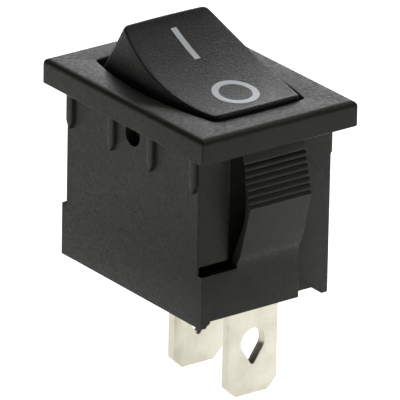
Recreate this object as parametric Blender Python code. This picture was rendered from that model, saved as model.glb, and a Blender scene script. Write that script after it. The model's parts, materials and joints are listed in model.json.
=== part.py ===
"""A snap-in miniature rocker switch with two tab terminals, one object for each piece.

Frame: the origin is the centre of the bezel's underside, which sits on the panel. +Z points out of the
panel, and +X along the rocker to its OFF end. The rocker rests with that end pressed.
All constants are in millimetres and degrees; meshes are built in metres.
"""
import math

import bmesh
import bpy
from mathutils import Matrix, Vector

MM = 0.001

# Bezel and its opening
BEZEL_LENGTH = 21.0
BEZEL_WIDTH = 15.0
BEZEL_HEIGHT = 2.1
BEZEL_CORNER = 0.35
BEZEL_ROUND = 0.5
LEAST_CORNER = 0.05
SWELL_LENGTH = 6.3
OPENING_HALF_LENGTH = 7.6
OPENING_HALF_WIDTH = 5.35
OPENING_TAPER = 0.68
OPENING_BULGE = 0.35
OPENING_CORNER = 0.3

# Body below the bezel
BODY_HALF_LENGTH = 8.68
BODY_HALF_WIDTH = 6.38
BODY_BOTTOM = -14.3
FLOOR_BOTTOM = -13.55
FOOT_INNER = 5.8
FOOT_SLOPE_INNER = 4.75
FOOT_SLOPE_LOW = -14.15
FLOOR_TOP = -12.4
CAVITY_HALF_LENGTH = 7.7
CAVITY_HALF_WIDTH = 5.2
BAND_HALF_LENGTH = 9.19
BAND_TOP = -9.9
BAND_RIGHT = 3.1
BAND_ROOT = 1.0
WINDOW_LEFT = -3.4
WINDOW_RIGHT = 3.1
WINDOW_DEPTH = 0.4
GAP_TOP = -9.25
GAP_LEFT = -6.26
RIB_PLACES = (-8.05, -2.57, 2.57, 8.05)
RIB_WIDTH = 0.75
RIB_PROUD = 0.32
RIB_STRAIGHT = 2.6
RIB_LENGTH = 3.3
RIB_ROOT = 0.3
STOP_LEDGE_TOP = -2.75
STOP_LEDGE_HEIGHT = 1.4
STOP_LEDGE_INNER = 7.0
STOP_LEDGE_SIDE = 3.6
STOP_LEDGE_ROOT = 0.2

# Snap clips, one at each short end
CLIP_HALF_WIDTH = 2.98
CLIP_TOP = -0.35
CLIP_TOP_X = 9.68
CLIP_APEX = (10.75, -4.6)
CLIP_RAMP = ((10.05, -7.1), (9.6, -8.9), (BAND_HALF_LENGTH, -9.5))
CLIP_BACK = ((8.45, -9.2), (8.95, -7.6), (10.15, -4.7), (9.25, CLIP_TOP))
CLIP_BACK_X = 8.45
CLIP_BOTTOM = -12.3
CLIP_GROOVES = 7
CLIP_GROOVE_FIRST = -1.165
CLIP_GROOVE_PITCH = 0.514
CLIP_GROOVE_HALF_HEIGHT = 0.16
CLIP_GROOVE_DEPTH = 0.2

# Rocker, in its own frame about the pivot
PIVOT_Z = -1.1
PIVOT_HOLE_RADIUS = 0.95
PIVOT_PIN_RADIUS = 0.85
PIVOT_PIN_END = 5.55
ROCKER_TILT = 16.0
ROCKER_TOP_HALF_LENGTH = 6.45
ROCKER_TOP_END_Z = 5.42
ROCKER_DIP = 0.93
ROCKER_SKIRT = (7.5, 0.5)
ROCKER_EAR_HALF_LENGTH = 1.6
ROCKER_EAR_FOOT_HALF_LENGTH = 3.0
ROCKER_EAR_BOTTOM = -1.3
ROCKER_HALF_WIDTH = 4.77
ROCKER_TAPER = 0.74
ROCKER_BULGE = 0.1
ROCKER_CORNER = 0.9
ROCKER_FLARE = 0.15
ROCKER_TAPER_LOSS = 0.4
ROCKER_CORNER_LOSS = 0.4
ROCKER_WALL = 0.8
ROCKER_CAP = 1.0
TUBE_RADIUS = 1.9
TUBE_BORE = 1.4
TUBE_BOTTOM = -3.6
TUBE_ROOT = 0.4
BORE_TOP_WALL = 0.1

# Contact blade, in its own frame about the fulcrum
FULCRUM_Z = -7.2
BLADE_TILT = 8.0
BLADE_THICKNESS = 0.35
BLADE_FLAT = 0.3
BLADE_RISE = 19.0
BLADE_BEND_X = 2.6
BLADE_REAR_X = -3.4
BLADE_FRONT_X = 6.6
BLADE_HALF_WIDTH = 2.2
BLADE_WAIST_HALF_WIDTH = 1.35
BLADE_WAIST_HALF_LENGTH = 0.8
BLADE_CONTACT_X = 5.55
REST_GAP = 0.03

# Plunger and its spring, in the rocker's frame
PLUNGER_TIP_RADIUS = 0.8
PLUNGER_RADIUS = 1.3
PLUNGER_SHOULDER = -4.1
PLUNGER_TOP = -0.8
PLUNGER_BORE = 1.0
PLUNGER_BORE_DEPTH = 1.5
PLUNGER_GAP = 0.05
SPRING_RADIUS = 0.78
SPRING_WIRE = 0.12
SPRING_TURNS = 7

# Terminals and contacts
COMMON_X = 0.1
LOAD_X = 7.15
TAB_THICKNESS = 0.8
TAB_HALF_WIDTH = 2.4
TAB_TIP = -21.8
TAB_CHAMFER = 0.87
TAB_HOLE_Z = -17.4
TAB_HOLE_RADIUS = 1.13
TAB_HOLE_POINT = -19.25
TAB_HOLE_POINT_HALF_WIDTH = 0.18
SLOT_GAP = 0.06
EAR_INNER = 1.45
EAR_HEIGHT = 0.9
GROOVE_ABOVE = 0.5
COMMON_SHOULDER = -8.6
RIVET_HEAD_RADIUS = 1.1
RIVET_HEAD = 0.35
RIVET_SHANK_RADIUS = 0.5
RIVET_HOLE_RADIUS = 0.56
RIVET_TAIL_RADIUS = 0.8
RIVET_TAIL = 0.25
CONTACT_GAP = 0.04
LOAD_TAB_END = 4.5
LOAD_BEND_RADIUS = 0.9

ARC_STEPS = 6
ROUND_STEPS = 32
OVERCUT = 1.0


def clear_scene():
    """Removes whatever the scene holds."""
    for obj in list(bpy.data.objects):
        bpy.data.objects.remove(obj, do_unlink=True)


def make_material(name, colour, roughness, metallic=0.0):
    """A plain Principled material."""
    material = bpy.data.materials.new(name)
    material.use_nodes = True
    shader = material.node_tree.nodes["Principled BSDF"]
    shader.inputs["Base Color"].default_value = (*colour, 1.0)
    shader.inputs["Roughness"].default_value = roughness
    shader.inputs["Metallic"].default_value = metallic
    material.diffuse_color = (*colour, 1.0)
    return material


def add_object(name, bm):
    """A scene object from a bmesh drawn in millimetres."""
    bmesh.ops.scale(bm, vec=(MM, MM, MM), verts=bm.verts)
    bmesh.ops.recalc_face_normals(bm, faces=bm.faces)
    mesh = bpy.data.meshes.new(name)
    bm.to_mesh(mesh)
    bm.free()
    obj = bpy.data.objects.new(name, mesh)
    bpy.context.scene.collection.objects.link(obj)
    return obj


def loft(name, rings):
    """A closed body through rings of equal length, with flat ends."""
    bm = bmesh.new()
    loops = [[bm.verts.new(point) for point in ring] for ring in rings]
    count = len(loops[0])
    for low, high in zip(loops, loops[1:]):
        for i in range(count):
            j = (i + 1) % count
            bm.faces.new((low[i], low[j], high[j], high[i]))
    bm.faces.new(list(reversed(loops[0])))
    bm.faces.new(loops[-1])
    return add_object(name, bm)


def prism(name, outline, axis, start, end):
    """An outline extruded along an axis. On Z it holds (x, y), on Y (x, z) and on X (y, z) points."""
    place = {
        "X": lambda a, b, t: (t, a, b),
        "Y": lambda a, b, t: (a, t, b),
        "Z": lambda a, b, t: (a, b, t),
    }[axis]
    rings = [[place(a, b, t) for a, b in outline] for t in (start, end)]
    return loft(name, rings)


def block(name, x, y, z):
    """A box between pairs of limits."""
    outline = [(x[0], y[0]), (x[1], y[0]), (x[1], y[1]), (x[0], y[1])]
    return prism(name, outline, "Z", z[0], z[1])


def circle(radius, steps=ROUND_STEPS, centre=(0.0, 0.0)):
    """Points around a circle."""
    angles = [2 * math.pi * i / steps for i in range(steps)]
    return [(centre[0] + radius * math.cos(a), centre[1] + radius * math.sin(a)) for a in angles]


def arc(centre, radius, start, end, steps=ARC_STEPS):
    """Points along an arc, angles in degrees."""
    angles = [math.radians(start + (end - start) * i / steps) for i in range(steps + 1)]
    return [(centre[0] + radius * math.cos(a), centre[1] + radius * math.sin(a)) for a in angles]


def lathe(name, profile, steps=ROUND_STEPS):
    """A solid of revolution about Z, from (radius, z) points that run from bottom to top."""
    rings = []
    for radius, z in profile:
        rings.append([(x, y, z) for x, y in circle(radius, steps)])
    return loft(name, rings)


def apply_boolean(target, tools, operation):
    """Unites, cuts or intersects target with each tool in turn, and removes the tools."""
    for tool in tools:
        modifier = target.modifiers.new(tool.name, "BOOLEAN")
        modifier.operation = operation
        modifier.solver = "EXACT"
        modifier.object = tool
        graph = bpy.context.evaluated_depsgraph_get()
        mesh = bpy.data.meshes.new_from_object(target.evaluated_get(graph), depsgraph=graph)
        target.modifiers.clear()
        old = target.data
        target.data = mesh
        bpy.data.meshes.remove(old)
        bpy.data.objects.remove(tool, do_unlink=True)
    return target


def finish_mesh(obj, material, smooth_degrees=None):
    """Gives a finished piece its name, its one material and its shading."""
    obj.data.name = obj.name
    obj.data.materials.clear()
    obj.data.materials.append(material)
    for polygon in obj.data.polygons:
        polygon.material_index = 0
    if smooth_degrees:
        obj.data.shade_smooth()
        obj.data.set_sharp_from_angle(angle=math.radians(smooth_degrees))
    return obj


def add_axis(name, location, rotation_y):
    """An empty on a joint's axis. A positive angle takes the +X end down."""
    empty = bpy.data.objects.new(name, None)
    empty.empty_display_size = 2 * MM
    empty.location = Vector(location) * MM
    empty.rotation_euler = (0.0, math.radians(rotation_y), 0.0)
    bpy.context.scene.collection.objects.link(empty)
    return empty


def turn_in_plane(point, degrees):
    """An (x, z) point turned so that a positive angle takes the +X end up."""
    angle = math.radians(degrees)
    x = point[0] * math.cos(angle) - point[1] * math.sin(angle)
    z = point[0] * math.sin(angle) + point[1] * math.cos(angle)
    return x, z


def rounded_rectangle(half_x, half_y, radius):
    """A rectangle with round corners."""
    points = []
    for sign_x, sign_y, start in ((1, 1, 0), (-1, 1, 90), (-1, -1, 180), (1, -1, 270)):
        centre = (sign_x * (half_x - radius), sign_y * (half_y - radius))
        points += arc(centre, radius, start, start + 90)
    return points


def pillow(half_length, half_width, taper, bulge, corner):
    """A plan whose four sides all swell outward, with round corners.

    The long sides lose the taper over SWELL_LENGTH, and the short ends gain the bulge at their middles.
    """

    def side(x):
        return half_width - taper * (x / SWELL_LENGTH) ** 2

    def end(y):
        return half_length + bulge * (1 - (y / half_width) ** 2)

    x = half_length - corner
    y = side(half_length) - corner
    for _ in range(2 * ARC_STEPS):
        side_lean = math.atan(2 * taper * x / SWELL_LENGTH**2)
        end_lean = math.atan(2 * bulge * y / half_width**2)
        x = end(y + corner * math.sin(end_lean)) - corner * math.cos(end_lean)
        y = side(x + corner * math.sin(side_lean)) - corner * math.cos(side_lean)
    turn = arc((x, y), corner, math.degrees(end_lean), 90 - math.degrees(side_lean))
    steps = ARC_STEPS + 2
    quarter = [(end(turn[0][1] * i / steps), turn[0][1] * i / steps) for i in range(steps)]
    quarter += turn
    quarter += [(turn[-1][0] * i / steps, side(turn[-1][0] * i / steps)) for i in reversed(range(steps))]
    half = quarter + [(-x, y) for x, y in reversed(quarter[:-1])]
    return half + [(x, -y) for x, y in reversed(half[1:-1])]


def tab_outline(top):
    """A tab terminal's (y, z) outline up to a height, with a chamfered tip."""
    inner = TAB_HALF_WIDTH - TAB_CHAMFER
    shoulder = TAB_TIP + TAB_CHAMFER
    right = [(inner, TAB_TIP), (TAB_HALF_WIDTH, shoulder), (TAB_HALF_WIDTH, top)]
    return right + [(-y, z) for y, z in reversed(right)]


def teardrop():
    """The terminal's eye, round above and pointed below, as (y, z) points."""
    points = arc((0.0, TAB_HOLE_Z), TAB_HOLE_RADIUS, -30, 210, 16)
    tip = TAB_HOLE_POINT_HALF_WIDTH
    return points + [(-tip, TAB_HOLE_POINT), (tip, TAB_HOLE_POINT)]


def bezel_plate():
    """The flange that sits on the panel, with its top edge rounded."""
    rings = []
    outline = rounded_rectangle(BEZEL_LENGTH / 2, BEZEL_WIDTH / 2, BEZEL_CORNER)
    rings.append([(x, y, 0.0) for x, y in outline])
    for i in range(ARC_STEPS + 1):
        angle = math.radians(90 * i / ARC_STEPS)
        inset = BEZEL_ROUND * (1 - math.cos(angle))
        z = BEZEL_HEIGHT - BEZEL_ROUND * (1 - math.sin(angle))
        corner = max(BEZEL_CORNER - inset, LEAST_CORNER)
        outline = rounded_rectangle(BEZEL_LENGTH / 2 - inset, BEZEL_WIDTH / 2 - inset, corner)
        rings.append([(x, y, z) for x, y in outline])
    return loft("housing", rings)


def body_blocks():
    """The solid body, before it is hollowed: a block and a wider band low on each end."""
    tools = [
        block(
            "body",
            (-BODY_HALF_LENGTH, BODY_HALF_LENGTH),
            (-BODY_HALF_WIDTH, BODY_HALF_WIDTH),
            (BODY_BOTTOM, BEZEL_HEIGHT / 2),
        )
    ]
    for sign in (-1, 1):
        near = sign * (BODY_HALF_LENGTH - BAND_ROOT)
        far = sign * BAND_HALF_LENGTH
        limits = (min(near, far), max(near, far))
        tools.append(block("band", limits, (-BODY_HALF_WIDTH, BAND_RIGHT), (BODY_BOTTOM, BAND_TOP)))
    return tools


def crush_ribs():
    """Small ribs on the long sides that grip the panel's cut-out."""
    half = RIB_WIDTH / 2
    ribs = []
    for sign in (-1, 1):
        root = sign * (BODY_HALF_WIDTH - RIB_ROOT)
        face = sign * (BODY_HALF_WIDTH + RIB_PROUD)
        for x in RIB_PLACES:
            outline = [
                (x - half, BEZEL_HEIGHT / 2),
                (x - half, -RIB_STRAIGHT),
                (x, -RIB_LENGTH),
                (x + half, -RIB_STRAIGHT),
                (x + half, BEZEL_HEIGHT / 2),
            ]
            ribs.append(prism("rib", outline, "Y", min(root, face), max(root, face)))
    return ribs


def end_cuts(sign):
    """The window behind a clip and the gap above the band, for one end."""
    beyond = sign * (BAND_HALF_LENGTH + OVERCUT)
    window = sorted((sign * (CAVITY_HALF_LENGTH - WINDOW_DEPTH), beyond))
    return [
        block("gap", window, (GAP_LEFT, WINDOW_LEFT), (BAND_TOP, GAP_TOP)),
        block("window", window, (WINDOW_LEFT, WINDOW_RIGHT), (FLOOR_TOP, 0.0)),
    ]


def housing_cuts():
    """What is hollow in the housing: opening, cavity, underside, pivot holes and terminal slots."""
    underside = [
        (-FOOT_INNER, BODY_BOTTOM - OVERCUT),
        (-FOOT_INNER, FOOT_SLOPE_LOW),
        (-FOOT_SLOPE_INNER, FLOOR_BOTTOM),
        (FOOT_SLOPE_INNER, FLOOR_BOTTOM),
        (FOOT_INNER, FOOT_SLOPE_LOW),
        (FOOT_INNER, BODY_BOTTOM - OVERCUT),
    ]
    opening = pillow(OPENING_HALF_LENGTH, OPENING_HALF_WIDTH, OPENING_TAPER, OPENING_BULGE, OPENING_CORNER)
    tools = [
        prism("opening", opening, "Z", 0.0, BEZEL_HEIGHT + OVERCUT),
        block(
            "cavity",
            (-CAVITY_HALF_LENGTH, CAVITY_HALF_LENGTH),
            (-CAVITY_HALF_WIDTH, CAVITY_HALF_WIDTH),
            (FLOOR_TOP, LEAST_CORNER),
        ),
        prism("underside", underside, "X", -BAND_HALF_LENGTH - OVERCUT, BAND_HALF_LENGTH + OVERCUT),
        prism(
            "pivot_hole",
            circle(PIVOT_HOLE_RADIUS, centre=(0.0, PIVOT_Z)),
            "Y",
            -BODY_HALF_WIDTH - OVERCUT,
            BODY_HALF_WIDTH + OVERCUT,
        ),
    ]
    half_slot = TAB_THICKNESS / 2 + SLOT_GAP
    half_width = TAB_HALF_WIDTH + SLOT_GAP
    for x in (COMMON_X, LOAD_X):
        slot = block(
            "slot",
            (x - half_slot, x + half_slot),
            (-half_width, half_width),
            (BODY_BOTTOM - OVERCUT, FLOOR_TOP + OVERCUT),
        )
        tools.append(slot)
    return tools


def stop_ledges():
    """Ledges inside the end walls on which the rocker's pressed end stops."""
    ledges = []
    for sign_x in (-1, 1):
        for sign_y in (-1, 1):
            x = sorted((sign_x * STOP_LEDGE_INNER, sign_x * (CAVITY_HALF_LENGTH + STOP_LEDGE_ROOT)))
            y = sorted((sign_y * STOP_LEDGE_SIDE, sign_y * (CAVITY_HALF_WIDTH + STOP_LEDGE_ROOT)))
            ledges.append(block("ledge", x, y, (STOP_LEDGE_TOP - STOP_LEDGE_HEIGHT, STOP_LEDGE_TOP)))
    return ledges


def build_housing(material):
    """Bezel and body in one moulding."""
    housing = bezel_plate()
    apply_boolean(housing, body_blocks(), "UNION")
    apply_boolean(housing, crush_ribs(), "UNION")
    apply_boolean(housing, housing_cuts(), "DIFFERENCE")
    for sign in (-1, 1):
        apply_boolean(housing, end_cuts(sign), "DIFFERENCE")
    apply_boolean(housing, stop_ledges(), "UNION")
    return finish_mesh(housing, material, 30)


def clip_face():
    """The clip's ribbed face from its top to the apex: grooves across a leaning line."""
    lean = (CLIP_APEX[0] - CLIP_TOP_X) / (CLIP_APEX[1] - CLIP_TOP)
    points = [(CLIP_TOP_X, CLIP_TOP)]
    for i in range(CLIP_GROOVES):
        middle = CLIP_GROOVE_FIRST - i * CLIP_GROOVE_PITCH
        for offset, depth in ((1, 0.0), (0, CLIP_GROOVE_DEPTH), (-1, 0.0)):
            z = middle + offset * CLIP_GROOVE_HALF_HEIGHT
            points.append((CLIP_TOP_X + lean * (z - CLIP_TOP) - depth, z))
    return points + [CLIP_APEX]


def build_clip(name, sign, material):
    """A snap clip: a ribbed arm that stands in its end's window and bends at its foot."""
    outline = clip_face() + list(CLIP_RAMP)
    outline += [(BAND_HALF_LENGTH, CLIP_BOTTOM), (CLIP_BACK_X, CLIP_BOTTOM)] + list(CLIP_BACK)
    outline = [(sign * x, z) for x, z in outline]
    clip = prism(name, outline, "Y", -CLIP_HALF_WIDTH, CLIP_HALF_WIDTH)
    return finish_mesh(clip, material, 30)


def rocker_top(x):
    """Height of the rocker's dished top above the pivot."""
    return ROCKER_TOP_END_Z - ROCKER_DIP * (1 - (x / SWELL_LENGTH) ** 2)


def rocker_plan(name, wall, bottom):
    """The rocker's walls as a solid that widens downward, moved in by the wall."""
    rings = []
    skirt_x, skirt_z = ROCKER_SKIRT
    top_z = ROCKER_TOP_END_Z + OVERCUT
    for z, share in ((bottom, 1.0), (skirt_z, 1.0), (top_z, 0.0)):
        reach = share * (skirt_x - ROCKER_TOP_HALF_LENGTH)
        slope = (skirt_x - ROCKER_TOP_HALF_LENGTH) / (ROCKER_TOP_END_Z - skirt_z)
        if share == 0.0:
            reach = -OVERCUT * slope
        outline = pillow(
            ROCKER_TOP_HALF_LENGTH + reach - wall,
            ROCKER_HALF_WIDTH + share * ROCKER_FLARE - wall,
            ROCKER_TAPER - share * ROCKER_TAPER_LOSS,
            ROCKER_BULGE * (1 - share),
            ROCKER_CORNER - share * ROCKER_CORNER_LOSS,
        )
        rings.append([(x, y, z) for x, y in outline])
    return loft(name, rings)


def rocker_profile(cap, bottom):
    """The (x, z) side outline that bounds the rocker's top and, unless a bottom is given, its ears."""
    half = ROCKER_SKIRT[0] + OVERCUT
    steps = 28
    top = []
    for i in range(steps + 1):
        x = half * (1 - 2 * i / steps)
        top.append((x, rocker_top(x) - cap))
    if bottom:
        return top + [(-half, bottom), (half, bottom)]
    skirt_z = ROCKER_SKIRT[1]
    lower = [
        (half, skirt_z),
        (ROCKER_EAR_FOOT_HALF_LENGTH, skirt_z),
        (ROCKER_EAR_HALF_LENGTH, ROCKER_EAR_BOTTOM),
    ]
    return top + [(-x, z) for x, z in lower] + list(reversed(lower))


def build_rocker(material, axis):
    """The rocker: a dished cap with walls, two pivot pins and the plunger's tube."""
    beyond = ROCKER_HALF_WIDTH + OVERCUT
    low = ROCKER_EAR_BOTTOM - OVERCUT
    rocker = rocker_plan("rocker", 0.0, low)
    apply_boolean(rocker, [prism("side", rocker_profile(0.0, None), "Y", -beyond, beyond)], "INTERSECT")
    hollow = rocker_plan("hollow", ROCKER_WALL, low)
    ceiling = prism("ceiling", rocker_profile(ROCKER_CAP, low - OVERCUT), "Y", -beyond, beyond)
    apply_boolean(hollow, [ceiling], "INTERSECT")
    apply_boolean(rocker, [hollow], "DIFFERENCE")
    pins = []
    root = ROCKER_HALF_WIDTH - ROCKER_WALL / 2
    for sign in (-1, 1):
        limits = sorted((sign * root, sign * PIVOT_PIN_END))
        pins.append(prism("pin", circle(PIVOT_PIN_RADIUS), "Y", *limits))
    ceiling_z = rocker_top(0.0) - ROCKER_CAP
    tube = prism("tube", circle(TUBE_RADIUS), "Z", TUBE_BOTTOM, ceiling_z + TUBE_ROOT)
    apply_boolean(rocker, pins + [tube], "UNION")
    bore = prism("bore", circle(TUBE_BORE), "Z", TUBE_BOTTOM - OVERCUT, ceiling_z - BORE_TOP_WALL)
    apply_boolean(rocker, [bore], "DIFFERENCE")
    rocker.parent = axis
    return finish_mesh(rocker, material, 30)


def plunger_reach():
    """Distance from the pivot to the centre of the plunger's round tip, which almost meets the blade."""
    slope = math.radians(BLADE_RISE - BLADE_TILT)
    normal = Vector((math.sin(slope), math.cos(slope)))
    rise = math.radians(BLADE_RISE)
    corner = (-BLADE_FLAT, BLADE_THICKNESS / math.cos(rise) + REST_GAP)
    on_blade = Vector(turn_in_plane(corner, BLADE_TILT)) + Vector((COMMON_X, FULCRUM_Z))
    tilt = math.radians(ROCKER_TILT)
    along = Vector((-math.sin(tilt), -math.cos(tilt)))
    clearance = PLUNGER_TIP_RADIUS + PLUNGER_GAP
    above = (Vector((0.0, PIVOT_Z)) - on_blade).dot(normal)
    return (clearance - above) / along.dot(normal)


def build_plunger(material, axis):
    """The pin that the spring presses on the blade, hollow at its top to seat the spring."""
    tip = -plunger_reach()
    profile = []
    for i in range(1, 9):
        angle = math.radians(-90 + 90 * i / 8)
        profile.append((PLUNGER_TIP_RADIUS * math.cos(angle), tip + PLUNGER_TIP_RADIUS * math.sin(angle)))
    profile += [
        (PLUNGER_TIP_RADIUS, PLUNGER_SHOULDER - 0.3),
        (PLUNGER_RADIUS - 0.1, PLUNGER_SHOULDER),
        (PLUNGER_RADIUS, PLUNGER_SHOULDER + 0.1),
        (PLUNGER_RADIUS, PLUNGER_TOP),
    ]
    plunger = lathe("plunger", profile)
    seat = PLUNGER_TOP - PLUNGER_BORE_DEPTH
    bore = prism("bore", circle(PLUNGER_BORE), "Z", seat, PLUNGER_TOP + 1.0)
    apply_boolean(plunger, [bore], "DIFFERENCE")
    plunger.parent = axis
    return finish_mesh(plunger, material, 30)


def build_spring(material, axis):
    """The plunger's compression spring, a wire wound between the bore's ceiling and the plunger's seat."""
    margin = SPRING_WIRE + PLUNGER_GAP
    low = PLUNGER_TOP - PLUNGER_BORE_DEPTH + margin
    high = rocker_top(0.0) - ROCKER_CAP - 0.1 - margin
    sides = 8
    steps = SPRING_TURNS * 20
    rings = []
    for i in range(steps + 1):
        share = i / steps
        angle = 2 * math.pi * SPRING_TURNS * share
        outward = Vector((math.cos(angle), math.sin(angle), 0.0))
        centre = outward * SPRING_RADIUS + Vector((0.0, 0.0, low + (high - low) * share))
        ring = []
        for j in range(sides):
            around = 2 * math.pi * j / sides
            across = outward * (SPRING_WIRE * math.cos(around))
            ring.append(centre + across + Vector((0.0, 0.0, SPRING_WIRE * math.sin(around))))
        rings.append(ring)
    spring = loft("plunger_spring", rings)
    spring.parent = axis
    return finish_mesh(spring, material, 60)


def blade_line():
    """The blade's underside as (x, z) points in its own frame, front end last."""
    rise = math.tan(math.radians(BLADE_RISE))
    easy = math.tan(math.radians(BLADE_TILT))
    bend_z = (BLADE_BEND_X - BLADE_FLAT) * rise
    rear_z = (-BLADE_REAR_X - BLADE_FLAT) * rise
    return [
        (BLADE_REAR_X, rear_z),
        (-BLADE_FLAT, 0.0),
        (BLADE_FLAT, 0.0),
        (BLADE_BEND_X, bend_z),
        (BLADE_FRONT_X, bend_z + (BLADE_FRONT_X - BLADE_BEND_X) * easy),
    ]


def blade_contact_foot():
    """The point of the blade's underside where the moving contact sits."""
    bend, front = blade_line()[3:]
    share = (BLADE_CONTACT_X - bend[0]) / (front[0] - bend[0])
    return BLADE_CONTACT_X, bend[1] + (front[1] - bend[1]) * share


def build_blade(material, axis):
    """The seesaw blade, with a narrow waist between the fulcrum's ears and a hole for its contact."""
    lift = BLADE_THICKNESS / math.cos(math.radians(BLADE_RISE))
    under = [(x, z + REST_GAP) for x, z in blade_line()]
    over = [(x, z + lift) for x, z in reversed(under)]
    blade = prism("contact_blade", under + over, "Y", -BLADE_HALF_WIDTH, BLADE_HALF_WIDTH)
    waist = (-BLADE_WAIST_HALF_LENGTH, BLADE_WAIST_HALF_LENGTH)
    notches = []
    for sign in (-1, 1):
        y = sorted((sign * BLADE_WAIST_HALF_WIDTH, sign * (BLADE_HALF_WIDTH + 1.0)))
        notches.append(block("notch", waist, y, (-1.0, 2.0)))
    apply_boolean(blade, notches, "DIFFERENCE")
    hole = prism("hole", circle(RIVET_HOLE_RADIUS), "Z", -1.5, 1.5)
    x, z = blade_contact_foot()
    turn = Matrix.Rotation(-math.radians(BLADE_TILT), 4, "Y")
    hole.matrix_world = Matrix.Translation((x * MM, 0.0, z * MM)) @ turn
    apply_boolean(blade, [hole], "DIFFERENCE")
    blade.parent = axis
    return finish_mesh(blade, material, 30)


def rivet_profile(head_down, grip):
    """A contact rivet's (radius, z) profile. Its head's inner face is at z = 0."""
    gap = REST_GAP
    bevel = 0.12
    head = [
        (RIVET_HEAD_RADIUS - bevel, -RIVET_HEAD),
        (RIVET_HEAD_RADIUS, -RIVET_HEAD + bevel),
        (RIVET_HEAD_RADIUS, 0.0),
        (RIVET_SHANK_RADIUS, 0.0),
    ]
    tail = [
        (RIVET_SHANK_RADIUS, grip + 2 * gap),
        (RIVET_TAIL_RADIUS, grip + 2 * gap),
        (RIVET_TAIL_RADIUS - bevel, grip + 2 * gap + RIVET_TAIL),
    ]
    profile = head + tail
    if head_down:
        return profile
    return [(radius, -z) for radius, z in reversed(profile)]


def build_moving_contact(material, axis):
    """The rivet that carries the contact face under the blade's front end."""
    lift = BLADE_THICKNESS * math.cos(math.radians(BLADE_TILT)) / math.cos(math.radians(BLADE_RISE))
    contact = lathe("moving_contact", rivet_profile(True, lift))
    x, z = blade_contact_foot()
    slope = math.radians(BLADE_TILT)
    contact.parent = axis
    contact.rotation_euler = (0.0, -slope, 0.0)
    contact.location = Vector((x + REST_GAP * math.sin(slope), 0.0, z)) * MM
    return finish_mesh(contact, material, 30)


def closed_contact_place():
    """Where the moving contact's face comes to lie with the switch on, as (x, z)."""
    x, z = blade_contact_foot()
    x, z = turn_in_plane((x, z), -BLADE_TILT)
    return x + COMMON_X, z + FULCRUM_Z - RIVET_HEAD


def build_fixed_contact(material):
    """The rivet in the load terminal's tab that the moving contact meets."""
    contact = lathe("fixed_contact", rivet_profile(False, TAB_THICKNESS))
    x, z = closed_contact_place()
    contact.location = Vector((x, 0.0, z - CONTACT_GAP - RIVET_HEAD)) * MM
    return finish_mesh(contact, material, 30)


def build_common_terminal(material):
    """The middle terminal: a tab below, and above it a ridged fulcrum between two ears."""
    half = TAB_THICKNESS / 2
    ear = FULCRUM_Z + EAR_HEIGHT
    top = [
        (TAB_HALF_WIDTH, ear),
        (EAR_INNER, ear),
        (EAR_INNER, FULCRUM_Z),
    ]
    outline = tab_outline(COMMON_SHOULDER)
    middle = len(outline) // 2
    outline = outline[:middle] + top + [(-y, z) for y, z in reversed(top)] + outline[middle:]
    terminal = prism("common_terminal", outline, "X", COMMON_X - half, COMMON_X + half)
    eye = prism("eye", teardrop(), "X", COMMON_X - OVERCUT, COMMON_X + OVERCUT)
    ridge = []
    for sign in (-1, 1):
        wedge = [
            (COMMON_X, FULCRUM_Z),
            (COMMON_X + sign * half, FULCRUM_Z - half),
            (COMMON_X + sign * 2 * half, FULCRUM_Z - half),
            (COMMON_X + sign * 2 * half, FULCRUM_Z + GROOVE_ABOVE),
            (COMMON_X, FULCRUM_Z + GROOVE_ABOVE),
        ]
        ridge.append(prism("wedge", wedge, "Y", -EAR_INNER, EAR_INNER))
    apply_boolean(terminal, [eye] + ridge, "DIFFERENCE")
    return finish_mesh(terminal, material, 30)


def build_load_terminal(material):
    """The terminal near the OFF end: a tab below, bent over at its top to carry the fixed contact."""
    half = TAB_THICKNESS / 2
    outer = LOAD_X + half
    inner = LOAD_X - half
    x, face = closed_contact_place()
    top = face - CONTACT_GAP - RIVET_HEAD - REST_GAP
    radius = LOAD_BEND_RADIUS
    outline = [(inner, TAB_TIP), (outer, TAB_TIP)]
    outline += arc((outer - radius, top - radius), radius, 0, 90)
    outline += [(LOAD_TAB_END, top), (LOAD_TAB_END, top - TAB_THICKNESS)]
    inner_radius = radius - TAB_THICKNESS
    outline += arc((inner - inner_radius, top - radius), inner_radius, 90, 0)
    terminal = prism("load_terminal", outline, "Y", -TAB_HALF_WIDTH, TAB_HALF_WIDTH)
    corners = []
    for sign in (-1, 1):
        triangle = [
            (sign * (TAB_HALF_WIDTH - TAB_CHAMFER), TAB_TIP),
            (sign * TAB_HALF_WIDTH, TAB_TIP + TAB_CHAMFER),
            (sign * (TAB_HALF_WIDTH + OVERCUT), TAB_TIP + TAB_CHAMFER),
            (sign * (TAB_HALF_WIDTH + OVERCUT), TAB_TIP - OVERCUT),
            (sign * (TAB_HALF_WIDTH - TAB_CHAMFER), TAB_TIP - OVERCUT),
        ]
        corners.append(prism("corner", triangle, "X", LOAD_X - OVERCUT, LOAD_X + OVERCUT))
    eye = prism("eye", teardrop(), "X", LOAD_X - OVERCUT, LOAD_X + OVERCUT)
    round_hole = circle(RIVET_HOLE_RADIUS, centre=(x, 0.0))
    hole = prism("hole", round_hole, "Z", top - 2 * TAB_THICKNESS, top + OVERCUT)
    apply_boolean(terminal, corners + [eye, hole], "DIFFERENCE")
    return finish_mesh(terminal, material, 30)


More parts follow.
